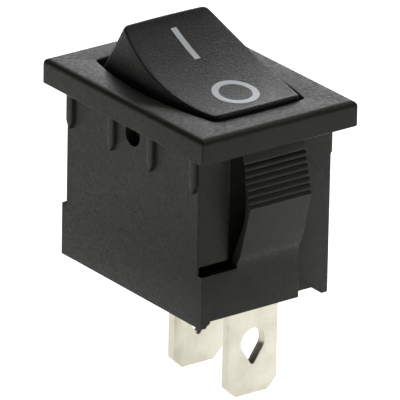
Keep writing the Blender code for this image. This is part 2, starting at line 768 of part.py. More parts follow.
def main():
    """Builds every piece in the OFF position."""
    clear_scene()
    black = make_material("black_nylon", (0.045, 0.045, 0.042), 0.55)
    button = make_material("button_nylon", (0.06, 0.06, 0.058), 0.6)
    white = make_material("white_acetal", (0.85, 0.85, 0.82), 0.4)
    plated = make_material("plated_brass", (0.72, 0.7, 0.6), 0.3, 1.0)
    copper = make_material("blade_copper", (0.75, 0.5, 0.33), 0.3, 1.0)
    silver = make_material("contact_silver", (0.85, 0.85, 0.84), 0.25, 1.0)
    steel = make_material("spring_steel", (0.5, 0.5, 0.52), 0.3, 1.0)
    rocker_axis = add_axis("rocker_axis", (0.0, 0.0, PIVOT_Z), ROCKER_TILT)
    blade_axis = add_axis("blade_axis", (COMMON_X, 0.0, FULCRUM_Z), -BLADE_TILT)
    build_housing(black)
    build_clip("snap_clip_off_end", 1, black)
    build_clip("snap_clip_on_end", -1, black)
    build_rocker(button, rocker_axis)
    build_plunger(white, rocker_axis)
    build_spring(steel, rocker_axis)
    build_blade(copper, blade_axis)
    build_moving_contact(silver, blade_axis)
    build_common_terminal(plated)
    build_load_terminal(plated)
    build_fixed_contact(silver)
    bpy.context.view_layer.update()


main()
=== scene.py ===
import json
import math

import bmesh
import bpy
from mathutils import Matrix, Vector


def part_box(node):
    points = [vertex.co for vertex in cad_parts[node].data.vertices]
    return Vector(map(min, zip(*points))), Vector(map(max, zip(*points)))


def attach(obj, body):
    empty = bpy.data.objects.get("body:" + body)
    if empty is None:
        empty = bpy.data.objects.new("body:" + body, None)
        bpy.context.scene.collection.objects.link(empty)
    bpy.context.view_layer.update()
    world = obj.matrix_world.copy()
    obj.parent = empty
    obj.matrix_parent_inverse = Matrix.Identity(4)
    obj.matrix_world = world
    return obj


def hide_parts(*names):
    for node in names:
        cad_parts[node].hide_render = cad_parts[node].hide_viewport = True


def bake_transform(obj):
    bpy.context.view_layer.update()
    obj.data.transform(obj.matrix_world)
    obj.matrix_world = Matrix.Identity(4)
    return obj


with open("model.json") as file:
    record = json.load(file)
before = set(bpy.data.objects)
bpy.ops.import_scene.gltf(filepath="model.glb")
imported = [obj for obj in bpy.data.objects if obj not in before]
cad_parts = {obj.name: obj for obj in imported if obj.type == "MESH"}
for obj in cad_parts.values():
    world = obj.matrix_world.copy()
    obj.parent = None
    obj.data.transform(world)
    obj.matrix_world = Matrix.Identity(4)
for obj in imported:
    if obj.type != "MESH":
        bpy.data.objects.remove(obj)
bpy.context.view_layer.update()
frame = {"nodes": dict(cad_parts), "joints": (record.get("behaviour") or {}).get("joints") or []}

MM = 0.001


def cad_box(node):
    """A CAD node's lowest and highest corner in millimetres."""
    low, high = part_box(node)
    return low / MM, high / MM


def joint_place(name):
    """A joint's position in millimetres."""
    joint = next(j for j in frame["joints"] if j["name"] == name)
    return Vector(joint["pos_m"]) / MM


# Sizes read from the frame
HOUSING_LOW, HOUSING_HIGH = cad_box("housing")
CLIP_LOW, CLIP_HIGH = cad_box("snap_clip_off_end")
LOAD_LOW, LOAD_HIGH = cad_box("load_terminal")
COMMON_LOW, COMMON_HIGH = cad_box("common_terminal")
PIVOT = joint_place("rocker_tilt")
BEZEL_TOP = HOUSING_HIGH.z
BODY_BOTTOM = HOUSING_LOW.z
TAB_TIP = LOAD_LOW.z
TAB_HALF_WIDTH = LOAD_HIGH.y
TAB_THICKNESS = COMMON_HIGH.x - COMMON_LOW.x
COMMON_X = (COMMON_HIGH.x + COMMON_LOW.x) / 2
LOAD_X = LOAD_HIGH.x - TAB_THICKNESS / 2

# How far a cutter runs past what it cuts, and how deep a root runs into what carries it
OVERCUT = 1.0
ROOT = 0.2

# Bezel
BEZEL_FOOT_ROUND = 0.08
BEZEL_CORNER = 0.2
BEZEL_ROUND = 0.5
LEAST_CORNER = 0.06
SWELL_LENGTH = 6.3
OPENING_HALF_LENGTH = 7.6
OPENING_HALF_WIDTH = 5.35
OPENING_TAPER = 0.68
OPENING_BULGE = 0.35
OPENING_CORNER = 0.3
OPENING_LIP = 0.14
OPENING_LIP_CLEARANCE = 0.002

# Body
BODY_HALF_LENGTH = 8.68
BODY_HALF_WIDTH = 6.38
BODY_CORNER = 0.12
BODY_EDGE = 0.07
FLOOR_BOTTOM = -13.55
FOOT_INNER = 5.8
FOOT_SLOPE_INNER = 4.75
FOOT_SLOPE_LOW = -14.15
FLOOR_TOP = -12.4
CAVITY_HALF_LENGTH = 7.7
CAVITY_HALF_WIDTH = 5.2
CAVITY_CORNER = 0.25
CAVITY_TOP = 0.05
BAND_HALF_LENGTH = 9.19
BAND_TOP = -9.9
BAND_RIGHT = 3.1
BAND_BACK = 8.5
BAND_BOTTOM = -13.8
BAND_EDGE = 0.05
BAND_PROUD = 0.01
BAND_SETBACK = 0.08
BAND_RISE = 0.1
BAND_RISE_FROM = 0.15
BAND_RISE_TO = 0.05
SKIRT_THICKNESS = 0.93
SILL_INNER = 7.5
SILL_SETBACK_LEFT = 0.2
SILL_SETBACK_RIGHT = 0.1
GAP_TOP = -9.25
GAP_LEFT = -BODY_HALF_WIDTH + 0.12
GAP_OVERLAP = 0.1
SKIN_INNER = 7.58
SKIN_OUTER = 7.66
SKIN_TOP = -0.6
SKIN_OVERLAP = 0.1
WINDOW_LEFT = -3.15
WINDOW_RIGHT = 3.1
WINDOW_ROUND = 0.55
WINDOW_INNER = CAVITY_HALF_LENGTH - 0.4
WINDOW_OUTER = BAND_HALF_LENGTH + 0.6
WINDOW_BOTTOM = FLOOR_TOP + 0.6
RIB_PLACES = (-8.05, -2.57, 2.57, 8.05)
RIB_WIDTH = 0.75
RIB_PROUD = 0.32
RIB_STRAIGHT = 2.6
RIB_LENGTH = 3.3
RIB_ROOT = 0.3
RIB_EDGE = 0.1
PIVOT_HOLE_RADIUS = 0.95
LEDGE_TOP = -2.75
LEDGE_HEIGHT = 1.4
LEDGE_INNER = 7.0
LEDGE_SIDE = 3.6
SLOT_GAP = 0.06

# Snap clips
CLIP_HALF_WIDTH = CLIP_HIGH.y
CLIP_TOP = (9.68, CLIP_HIGH.z)
CLIP_APEX = (CLIP_HIGH.x, -4.48)
CLIP_RAMP = ((10.05, -7.1), (9.6, -8.9), (BAND_HALF_LENGTH + 0.02, -9.5))
CLIP_BACK = ((8.5, -9.2), (9.2, -7.7), (10.42, -4.6), (9.42, CLIP_HIGH.z))
CLIP_GROOVES = 7
CLIP_GROOVE_FIRST = -1.165
CLIP_GROOVE_PITCH = 0.514
CLIP_GROOVE_DEPTH = 0.16
CLIP_LAST_GROOVE_HEIGHT = 0.14
CLIP_LAST_GROOVE_STEP = 0.02
CLIP_EDGE = 0.05
CLIP_FOOT = BAND_TOP - 1.2

# Rocker, in its own frame about the pivot
ROCKER_TILT = 16.0
ROCKER_TOP_HALF_LENGTH = 6.45
ROCKER_TOP_END_Z = 5.42
ROCKER_DIP = 0.93
ROCKER_SKIRT = (7.5, 0.5)
ROCKER_EAR_HALF_LENGTH = 1.6
ROCKER_EAR_FOOT_HALF_LENGTH = 3.0
ROCKER_EAR_BOTTOM = -1.3
ROCKER_EAR_SETBACK = 0.02
ROCKER_HALF_WIDTH = 4.77
ROCKER_TAPER = 0.74
ROCKER_BULGE = 0.1
ROCKER_CORNER = 0.6
ROCKER_FLARE = 0.2
ROCKER_TAPER_LOSS = 0.42
ROCKER_CORNER_LOSS = 0.1
ROCKER_WALL = 0.8
ROCKER_CAP = 1.0
ROCKER_SIDE_EDGE = 0.16
ROCKER_END_EDGE = 0.26
ROCKER_END_EDGE_FROM = 5.4
PIN_RADIUS = 0.85
PIN_END = 5.5
PIN_EDGE = 0.08
TUBE_RADIUS = 1.9
TUBE_BORE = 1.4
TUBE_BOTTOM = -3.6
TUBE_ROOT = 0.4
BORE_TOP_WALL = 0.1

# Plunger spring, in the rocker's frame
SPRING_RADIUS = 0.78
SPRING_WIRE = 0.12
SPRING_TURNS = 7
SPRING_SEAT = -2.13
SPRING_TOP_GAP = 0.27

# Printed marks, in the rocker's frame
MARK_THICKNESS = 0.035
MARK_LIFT = 0.004
RING_CENTRE_X = 3.45
RING_OUTER = 1.87
RING_INNER = 1.32
BAR_FROM = -5.15
BAR_TO = -1.6
BAR_HALF_WIDTH = 0.27

# Tabs
TAB_CHAMFER = 0.87
TAB_EDGE = 0.07
EYE_Z = -17.4
EYE_RADIUS = 1.13
EYE_POINT = -19.25
EYE_POINT_RADIUS = 0.22
FULCRUM_Z = joint_place("blade_tilt").z
EAR_INNER = 1.45
EAR_HEIGHT = 0.9
GROOVE_ABOVE = 0.5
COMMON_SHOULDER = -8.6
LOAD_TOP = LOAD_HIGH.z
LOAD_TAB_END = LOAD_LOW.x
LOAD_BEND_RADIUS = 0.9
CONTACT_HOLE_RADIUS = 0.56
CONTACT_HOLE_DEPTH = 2.0

# Camera: direction, roll, distance and aim
VIEW_AZIMUTH = 53.03
VIEW_ELEVATION = 22.6
VIEW_ROLL = 1.13
VIEW_DISTANCE = 622.0
VIEW_LENS = 720.5
AIM_RIGHT = 0.06
AIM_UP = -7.44

SENSOR = 36.0

# Studio: the floor, the surround, and lights as name, azimuth, elevation, width, height, brightness
FLOOR_HALF_SIZE = 900.0
FLOOR_THICKNESS = 4.0
FLOOR_GAP = 0.02
FLOOR_GLOW = 0.95
WORLD_STRENGTH = 0.04
LIGHT_DISTANCE = 420.0
STUDIO_LIGHTS = (
    ("back", 147.0, 20.0, 420.0, 180.0, 4.6),
    ("overhead", 84.0, 56.0, 380.0, 240.0, 2.0),
    ("front", -40.0, 30.0, 260.0, 200.0, 0.3),
)


# ---------------------------------------------------------------- mesh making

def add_object(name, bm):
    """A scene object from a bmesh drawn in millimetres."""
    bmesh.ops.scale(bm, vec=(MM, MM, MM), verts=bm.verts)
    bmesh.ops.recalc_face_normals(bm, faces=bm.faces)
    mesh = bpy.data.meshes.new(name)
    bm.to_mesh(mesh)
    bm.free()
    obj = bpy.data.objects.new(name, mesh)
    bpy.context.scene.collection.objects.link(obj)
    return obj


def loft(name, rings, closed=False):
    """A body through rings of equal length: with flat ends, or joined end to end when closed."""
    bm = bmesh.new()
    loops = [[bm.verts.new(point) for point in ring] for ring in rings]
    count = len(loops[0])
    pairs = list(zip(loops, loops[1:]))
    if closed:
        pairs.append((loops[-1], loops[0]))
    for low, high in pairs:
        for i in range(count):
            j = (i + 1) % count
            bm.faces.new((low[i], low[j], high[j], high[i]))
    if not closed:
        bm.faces.new(list(reversed(loops[0])))
        bm.faces.new(loops[-1])
    return add_object(name, bm)


def place_on(axis):
    """How an outline's two numbers and a depth make a point on an axis."""
    return {
        "X": lambda a, b, t: (t, a, b),
        "Y": lambda a, b, t: (a, t, b),
        "Z": lambda a, b, t: (a, b, t),
    }[axis]


def inset(outline, amount):
    """An outline moved inward along its corners' bisectors, by one amount or by one for each point.

    The outline runs counter-clockwise.
    """
    amounts = amount if isinstance(amount, list) else [amount] * len(outline)
    if not any(amounts):
        return list(outline)
    moved = []
    count = len(outline)
    for i in range(count):
        before = Vector(outline[i - 1])
        here = Vector(outline[i])
        after = Vector(outline[(i + 1) % count])
        first = (here - before).normalized()
        second = (after - here).normalized()
        normal = Vector((-first.y - second.y, first.x + second.x))
        normal.normalize()
        cosine = max(0.5, normal.dot(Vector((-first.y, first.x))))
        moved.append(tuple(here + normal * (amounts[i] / cosine)))
    return moved


def anticlockwise(outline):
    """The outline in counter-clockwise order."""
    area = 0.0
    for i, (x, y) in enumerate(outline):
        before_x, before_y = outline[i - 1]
        area += before_x * y - x * before_y
    return list(outline) if area > 0 else list(reversed(outline))


def prism(name, outline, axis, start, end, edge=0.0, steps=3):
    """An outline extruded along an axis, its two rims rounded by edge."""
    outline = anticlockwise(outline)
    place = place_on(axis)
    if edge == 0:
        sections = [(start, 0.0), (end, 0.0)]
    else:
        quarter = [math.radians(90 * i / steps) for i in range(steps + 1)]
        rise = [(edge * (1 - math.sin(a)), edge * (1 - math.cos(a))) for a in quarter]
        sections = [(start + depth, amount) for depth, amount in reversed(rise)]
        sections += [(end - depth, amount) for depth, amount in rise]
    rings = []
    for t, amount in sections:
        rings.append([place(a, b, t) for a, b in inset(outline, amount)])
    return loft(name, rings)


def block(name, x, y, z, edge=0.0):
    """A box between pairs of limits."""
    outline = [(x[0], y[0]), (x[1], y[0]), (x[1], y[1]), (x[0], y[1])]
    return prism(name, outline, "Z", z[0], z[1], edge)


def circle(radius, steps=48, centre=(0.0, 0.0)):
    """Points around a circle."""
    angles = [2 * math.pi * i / steps for i in range(steps)]
    return [(centre[0] + radius * math.cos(a), centre[1] + radius * math.sin(a)) for a in angles]


def arc(centre, radius, start, end, steps=8):
    """Points along an arc, angles in degrees."""
    angles = [math.radians(start + (end - start) * i / steps) for i in range(steps + 1)]
    return [(centre[0] + radius * math.cos(a), centre[1] + radius * math.sin(a)) for a in angles]


def rounded_rectangle(half_x, half_y, radius, steps=8):
    """A rectangle with round corners."""
    points = []
    for sign_x, sign_y, start in ((1, 1, 0), (-1, 1, 90), (-1, -1, 180), (1, -1, 270)):
        centre = (sign_x * (half_x - radius), sign_y * (half_y - radius))
        points += arc(centre, radius, start, start + 90, steps)
    return points


def apply_modifiers(obj):
    """Fixes the object's modifiers into its mesh."""
    graph = bpy.context.evaluated_depsgraph_get()
    mesh = bpy.data.meshes.new_from_object(obj.evaluated_get(graph), depsgraph=graph)
    obj.modifiers.clear()
    old = obj.data
    obj.data = mesh
    bpy.data.meshes.remove(old)


def combine(target, tools, operation):
    """Unites, cuts or intersects target with each tool in turn, and removes the tools."""
    for tool in tools:
        modifier = target.modifiers.new(tool.name, "BOOLEAN")
        modifier.operation = operation
        modifier.solver = "EXACT"
        modifier.object = tool
        apply_modifiers(target)
        bpy.data.objects.remove(tool, do_unlink=True)
    return target


def tidy(obj):
    """Merges what a boolean left doubled and dissolves its needless edges."""
    bm = bmesh.new()
    bm.from_mesh(obj.data)
    bmesh.ops.remove_doubles(bm, verts=bm.verts, dist=0.002 * MM)
    bmesh.ops.dissolve_limit(bm, angle_limit=math.radians(0.5), verts=bm.verts, edges=bm.edges)
    bm.to_mesh(obj.data)
    bm.free()


def round_edges(obj, width, segments=2, degrees=35.0):
    """Rounds every edge sharper than an angle."""
    modifier = obj.modifiers.new("edges", "BEVEL")
    modifier.width = width * MM
    modifier.segments = segments
    modifier.limit_method = "ANGLE"
    modifier.angle_limit = math.radians(degrees)
    modifier.miter_outer = "MITER_ARC"
    modifier.use_clamp_overlap = True
    apply_modifiers(obj)


def finish_piece(obj, name, material, body, nodes=(), smooth=35.0):
    """Names a piece, gives it its material and shading, and sets what it rides on and stands for."""
    obj.name = name
    obj.data.name = name
    obj.data.materials.clear()
    obj.data.materials.append(material)
    for polygon in obj.data.polygons:
        polygon.material_index = 0
    obj.data.shade_smooth()
    obj.data.set_sharp_from_angle(angle=math.radians(smooth))
    if body:
        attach(obj, body)
    if nodes:
        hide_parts(*nodes)
    return obj


# ------------------------------------------------------------------ materials

class Nodes:
    """Adds and wires shader nodes of one material."""

    def __init__(self, name):
        self.material = bpy.data.materials.new(name)
        self.material.use_nodes = True
        self.tree = self.material.node_tree
        self.shader = self.tree.nodes["Principled BSDF"]
        self.coordinates = self.add("ShaderNodeTexCoord").outputs["Object"]

    def add(self, kind, **values):
        """A node with its plain inputs set by name."""
        node = self.tree.nodes.new(kind)
        for key, value in values.items():
            node.inputs[key.replace("_", " ")].default_value = value
        return node

    def link(self, source, target):
        """Joins an output to an input."""
        self.tree.links.new(source, target)

    def stretched(self, scale):
        """The object's coordinates scaled by three factors."""
        mapping = self.add("ShaderNodeMapping", Scale=scale)
        self.link(self.coordinates, mapping.inputs["Vector"])
        return mapping.outputs["Vector"]

    def noise(self, size, detail=3.0, roughness=0.55, vector=None):
        """Noise with features of about a size in millimetres."""
        node = self.add("ShaderNodeTexNoise", Scale=1 / (size * MM), Detail=detail, Roughness=roughness)
        self.link(vector or self.coordinates, node.inputs["Vector"])
        return node.outputs["Fac"]

    def cells(self, size, vector=None):
        """Distance to the nearest point of a cell pattern of about a size in millimetres."""
        node = self.add("ShaderNodeTexVoronoi", Scale=1 / (size * MM))
        self.link(vector or self.coordinates, node.inputs["Vector"])
        return node.outputs["Distance"]

    def spread(self, source, low, high, start=0.3, stop=0.7):
        """A value moved from one range to another."""
        node = self.add("ShaderNodeMapRange")
        node.inputs["From Min"].default_value = start
        node.inputs["From Max"].default_value = stop
        node.inputs["To Min"].default_value = low
        node.inputs["To Max"].default_value = high
        self.link(source, node.inputs["Value"])
        return node.outputs["Result"]

    def tint(self, source, dark, light):
        """A colour between two, by a value."""
        node = self.add("ShaderNodeMix")
        node.data_type = "RGBA"
        factor, low, high, result = node.inputs[0], node.inputs[6], node.inputs[7], node.outputs[2]
        low.default_value = (*dark, 1.0)
        high.default_value = (*light, 1.0)
        self.link(source, factor)
        self.link(result, self.shader.inputs["Base Color"])

    def bump(self, source, depth, below=None):
        """Relief of a depth in millimetres, laid over an earlier relief."""
        node = self.add("ShaderNodeBump", Strength=1.0, Distance=depth * MM)
        self.link(source, node.inputs["Height"])
        if below:
            self.link(below, node.inputs["Normal"])
        return node.outputs["Normal"]

    def relief(self, normal):
        """Sets the shader's normal."""
        self.link(normal, self.shader.inputs["Normal"])

    def roughness(self, source):
        """Sets the shader's roughness from a value."""
        self.link(source, self.shader.inputs["Roughness"])


def moulded_plastic(name, dark, light, rough, grain, depth, specular=0.5):
    """Spark-eroded moulded plastic: fine pits, slow waves, and patches that shine a little more."""
    n = Nodes(name)
    patches = n.noise(3.2, 4.0)
    fine = n.noise(grain, 2.0, 0.6)
    n.tint(n.spread(patches, 0.0, 1.0), dark, light)
    n.roughness(n.spread(n.noise(grain * 2.5, 4.0), rough - 0.1, rough + 0.1))
    waves = n.bump(n.noise(2.6, 1.0), 0.012)
    pits = n.bump(n.cells(grain * 1.7), depth * 0.5, waves)
    n.relief(n.bump(fine, depth, pits))
    n.shader.inputs["Specular IOR Level"].default_value = specular
    return n.material


def plated_metal(name, dark, light, rough):
    """Rolled and plated strip: long fine rolling lines, soft stains and shallow dents."""
    n = Nodes(name)
    along = n.stretched((1.0, 1.0, 0.06))
    lines = n.noise(0.09, 3.0, 0.6, along)
    stains = n.noise(1.6, 4.0)
    n.tint(n.spread(stains, 0.0, 1.0, 0.35, 0.65), dark, light)
    n.roughness(n.spread(stains, rough - 0.05, rough + 0.1))
    dents = n.bump(n.noise(0.7, 2.0), 0.006)
    n.relief(n.bump(lines, 0.0022, dents))
    n.shader.inputs["Metallic"].default_value = 1.0
    return n.material


def plain_metal(name, dark, light, rough, grain=0.15, depth=0.002):
    """Bare metal with a fine even surface."""
    n = Nodes(name)
    n.tint(n.spread(n.noise(1.1, 4.0), 0.0, 1.0), dark, light)
    n.roughness(n.spread(n.noise(0.5, 3.0), rough - 0.05, rough + 0.08))
    n.relief(n.bump(n.noise(grain, 3.0), depth))
    n.shader.inputs["Metallic"].default_value = 1.0
    return n.material


def printing_ink(name, dark, light):
    """White pad-printed ink that follows the grain under it."""
    n = Nodes(name)
    n.tint(n.spread(n.noise(0.8, 4.0), 0.0, 1.0), dark, light)
    n.roughness(n.spread(n.noise(0.3, 3.0), 0.42, 0.6))
    n.relief(n.bump(n.noise(0.12, 2.0), 0.004))
    return n.material


# ------------------------------------------------------------------- housing

def pillow(half_length, half_width, taper, bulge, corner):
    """A plan whose four sides all swell outward, with round corners, counter-clockwise.

    The long sides lose the taper over SWELL_LENGTH, and the short ends gain the bulge at their middles.
    """

    def side(x):
        return half_width - taper * (x / SWELL_LENGTH) ** 2

    def end(y):
        return half_length + bulge * (1 - (y / half_width) ** 2)

    x = half_length - corner
    y = side(half_length) - corner
    for _ in range(12):
        side_lean = math.atan(2 * taper * x / SWELL_LENGTH**2)
        end_lean = math.atan(2 * bulge * y / half_width**2)
        x = end(y + corner * math.sin(end_lean)) - corner * math.cos(end_lean)
        y = side(x + corner * math.sin(side_lean)) - corner * math.cos(side_lean)
    turn = arc((x, y), corner, math.degrees(end_lean), 90 - math.degrees(side_lean))
    steps = 12
    quarter = [(end(turn[0][1] * i / steps), turn[0][1] * i / steps) for i in range(steps)]
    quarter += turn
    quarter += [(turn[-1][0] * i / steps, side(turn[-1][0] * i / steps)) for i in reversed(range(steps))]
    half = quarter + [(-x, y) for x, y in reversed(quarter[:-1])]
    return half + [(x, -y) for x, y in reversed(half[1:-1])]


def bezel_plate():
    """The flange, its top edge rounded."""
    half_x, half_y = HOUSING_HIGH.x, HOUSING_HIGH.y
    rings = []
    steps = 8
    for amount, z in ((BEZEL_FOOT_ROUND, 0.0), (0.0, BEZEL_FOOT_ROUND)):
        outline = rounded_rectangle(half_x - amount, half_y - amount, BEZEL_CORNER - amount)
        rings.append([(x, y, z) for x, y in outline])
    for i in range(steps + 1):
        angle = math.radians(90 * i / steps)
        amount = BEZEL_ROUND * (1 - math.cos(angle))
        z = BEZEL_TOP - BEZEL_ROUND * (1 - math.sin(angle))
        corner = max(BEZEL_CORNER - amount, LEAST_CORNER)
        outline = rounded_rectangle(half_x - amount, half_y - amount, corner)
        rings.append([(x, y, z) for x, y in outline])
    return loft("housing_shell", rings)


def opening_cutter():
    """The rocker's opening, flared at its top so that the bezel's lip is round."""
    lip = OPENING_LIP
    sections = [(0.0, 0.0), (0.0, BEZEL_TOP - lip)]
    for degrees in (20, 40, 60, 80):
        angle = math.radians(degrees)
        sections.append((lip * (1 - math.cos(angle)), BEZEL_TOP - lip * (1 - math.sin(angle))))
    sections += [(lip, BEZEL_TOP + OPENING_LIP_CLEARANCE), (lip, BEZEL_TOP + OVERCUT)]
    rings = []
    for grow, z in sections:
        length, width = OPENING_HALF_LENGTH + grow, OPENING_HALF_WIDTH + grow
        outline = pillow(length, width, OPENING_TAPER, OPENING_BULGE, OPENING_CORNER + grow)
        rings.append([(x, y, z) for x, y in outline])
    return loft("opening", rings)


def body_blocks():
    """The body's block, and the long walls' wider feet that carry the end bands."""
    outline = rounded_rectangle(BODY_HALF_LENGTH, BODY_HALF_WIDTH, BODY_CORNER, 3)
    tools = [prism("body", outline, "Z", BODY_BOTTOM, BEZEL_TOP / 2, BODY_EDGE, 2)]
    for sign in (-1, 1):
        x = sorted((sign * SILL_INNER, sign * BAND_HALF_LENGTH))
        y = (-BODY_HALF_WIDTH, -BODY_HALF_WIDTH + SKIRT_THICKNESS)
        tools.append(block("foot", x, y, (BODY_BOTTOM, BAND_TOP), BAND_EDGE))
        x = sorted((sign * SILL_INNER, sign * BAND_BACK))
        y = (-BODY_HALF_WIDTH + SILL_SETBACK_LEFT, BAND_RIGHT - SILL_SETBACK_RIGHT)
        tools.append(block("sill", x, y, (FLOOR_BOTTOM, FLOOR_TOP)))
    return tools


def crush_ribs():
    """Small ribs on the long sides that grip the panel's cut-out."""
    half = RIB_WIDTH / 2
    ribs = []
    for sign in (-1, 1):
        limits = sorted((sign * (BODY_HALF_WIDTH - RIB_ROOT), sign * (BODY_HALF_WIDTH + RIB_PROUD)))
        for x in RIB_PLACES:
            outline = [
                (x - half, BEZEL_TOP / 2),
                (x - half, -RIB_STRAIGHT),
                (x, -RIB_LENGTH),
                (x + half, -RIB_STRAIGHT),
                (x + half, BEZEL_TOP / 2),
            ]
            ribs.append(prism("rib", outline, "Y", *limits, RIB_EDGE))
    return ribs


def window_cutter(sign):
    """The opening behind a clip; its wall on the carrying side ends in a round edge."""
    centre = (BODY_HALF_LENGTH - WINDOW_ROUND, WINDOW_LEFT - WINDOW_ROUND)
    outline = [(WINDOW_OUTER, WINDOW_RIGHT), (WINDOW_INNER, WINDOW_RIGHT), (WINDOW_INNER, WINDOW_LEFT)]
    outline += arc(centre, WINDOW_ROUND, 90, 0, 8)
    outline.append((WINDOW_OUTER, WINDOW_LEFT - WINDOW_ROUND))
    return prism("window", [(sign * x, y) for x, y in outline], "Z", WINDOW_BOTTOM, 0.0)


def end_cutters(sign):
    """The window behind a clip and the gap above the band, for one end."""
    limits = sorted((sign * WINDOW_INNER, sign * WINDOW_OUTER))
    gap = (GAP_LEFT, WINDOW_LEFT + GAP_OVERLAP)
    return [window_cutter(sign), block("gap", limits, gap, (BAND_TOP, GAP_TOP))]


def shade_sheets_behind_clips():
    """Thin inner walls that close the housing behind the clips: dark sheets put in as painted shade, so the
    windows read as deep black slots.
    """
    skins = []
    reach = CAVITY_HALF_WIDTH + SKIN_OVERLAP
    upper = (LEDGE_TOP - LEDGE_HEIGHT, SKIN_TOP)
    lower = (FLOOR_TOP - SKIN_OVERLAP, LEDGE_TOP - LEDGE_HEIGHT / 2)
    for sign in (-1, 1):
        x = sorted((sign * SKIN_INNER, sign * SKIN_OUTER))
        skins.append(block("skin", x, (WINDOW_LEFT - ROOT, WINDOW_RIGHT + ROOT), upper))
        skins.append(block("skin", x, (-reach, reach), lower))
    return skins


def housing_cutters():
    """What is hollow in the housing: opening, cavity, underside, pivot holes and terminal slots."""
    cavity = rounded_rectangle(CAVITY_HALF_LENGTH, CAVITY_HALF_WIDTH, CAVITY_CORNER, 3)
    underside = [
        (-FOOT_INNER, BODY_BOTTOM - OVERCUT),
        (-FOOT_INNER, FOOT_SLOPE_LOW),
        (-FOOT_SLOPE_INNER, FLOOR_BOTTOM),
        (FOOT_SLOPE_INNER, FLOOR_BOTTOM),
        (FOOT_INNER, FOOT_SLOPE_LOW),
        (FOOT_INNER, BODY_BOTTOM - OVERCUT),
    ]
    tools = [
        opening_cutter(),
        prism("cavity", cavity, "Z", FLOOR_TOP, CAVITY_TOP),
        prism("underside", underside, "X", -BAND_HALF_LENGTH - OVERCUT, BAND_HALF_LENGTH + OVERCUT),
    ]
    hole = circle(PIVOT_HOLE_RADIUS, 40, (PIVOT.x, PIVOT.z))
    tools.append(prism("pivot_hole", hole, "Y", -BODY_HALF_WIDTH - OVERCUT, BODY_HALF_WIDTH + OVERCUT))
    half_slot = TAB_THICKNESS / 2 + SLOT_GAP
    half_width = TAB_HALF_WIDTH + SLOT_GAP
    for x in (COMMON_X, LOAD_X):
        limits = (x - half_slot, x + half_slot)
        z = (BODY_BOTTOM - OVERCUT, FLOOR_TOP + OVERCUT)
        tools.append(block("slot", limits, (-half_width, half_width), z))
    return tools


def stop_ledges():
    """Ledges inside the end walls on which the rocker's pressed end stops."""
    ledges = []
    for sign_x in (-1, 1):
        for sign_y in (-1, 1):
            x = sorted((sign_x * LEDGE_INNER, sign_x * (CAVITY_HALF_LENGTH + ROOT)))
            y = sorted((sign_y * LEDGE_SIDE, sign_y * (CAVITY_HALF_WIDTH + ROOT)))
            ledges.append(block("ledge", x, y, (LEDGE_TOP - LEDGE_HEIGHT, LEDGE_TOP)))
    return ledges


def build_housing(material):
    """Bezel and body in one moulding."""
    housing = bezel_plate()
    combine(housing, body_blocks(), "UNION")
    combine(housing, crush_ribs(), "UNION")
    combine(housing, housing_cutters(), "DIFFERENCE")
    for sign in (-1, 1):
        combine(housing, end_cutters(sign), "DIFFERENCE")
    # The sheets behind the clips' windows are painted shade: dark walls standing where the hollow would only
    # be in shadow.
    combine(housing, stop_ledges() + shade_sheets_behind_clips(), "UNION")
    tidy(housing)
    return finish_piece(housing, "housing_shell", material, "housing", ["housing"])


# --------------------------------------------------------------------- clips

def ridge_face():
    """The clip's ribbed face from its top to its apex: round ridges parted by grooves."""
    lean = (CLIP_APEX[0] - CLIP_TOP[0]) / (CLIP_APEX[1] - CLIP_TOP[1])
    edges = [CLIP_TOP[1]] + [CLIP_GROOVE_FIRST - i * CLIP_GROOVE_PITCH for i in range(CLIP_GROOVES)]
    points = []
    steps = 8
    for high, low in zip(edges, edges[1:]):
        for i in range(steps):
            z = (high + low) / 2 + (high - low) / 2 * math.cos(math.pi * i / steps)
            reach = min(z - low, high - z)
            if high == CLIP_TOP[1]:
                reach = z - low
            share = min(1.0, max(0.0, 1 - reach / (CLIP_GROOVE_PITCH / 2)))
            drop = CLIP_GROOVE_DEPTH * (1 - math.sqrt(1 - share**2))
            points.append((CLIP_TOP[0] + lean * (z - CLIP_TOP[1]) - drop, z))
    x = CLIP_TOP[0] + lean * (edges[-1] - CLIP_TOP[1])
    points.append((x - CLIP_GROOVE_DEPTH, edges[-1]))
    points.append((x - CLIP_LAST_GROOVE_STEP, edges[-1] - CLIP_LAST_GROOVE_HEIGHT))
    points.append(CLIP_APEX)
    return points


def smooth_line(points, steps=6):
    """A soft curve through the points' neighbourhood, ends kept."""
    line = [points[0]]
    for a, b, c in zip(points, points[1:], points[2:]):
        start = ((a[0] + b[0]) / 2, (a[1] + b[1]) / 2)
        stop = ((b[0] + c[0]) / 2, (b[1] + c[1]) / 2)
        for i in range(steps + 1):
            t = i / steps
            x = start[0] * (1 - t) ** 2 + 2 * b[0] * t * (1 - t) + stop[0] * t**2
            z = start[1] * (1 - t) ** 2 + 2 * b[1] * t * (1 - t) + stop[1] * t**2
            line.append((x, z))
    line.append(points[-1])
    return line


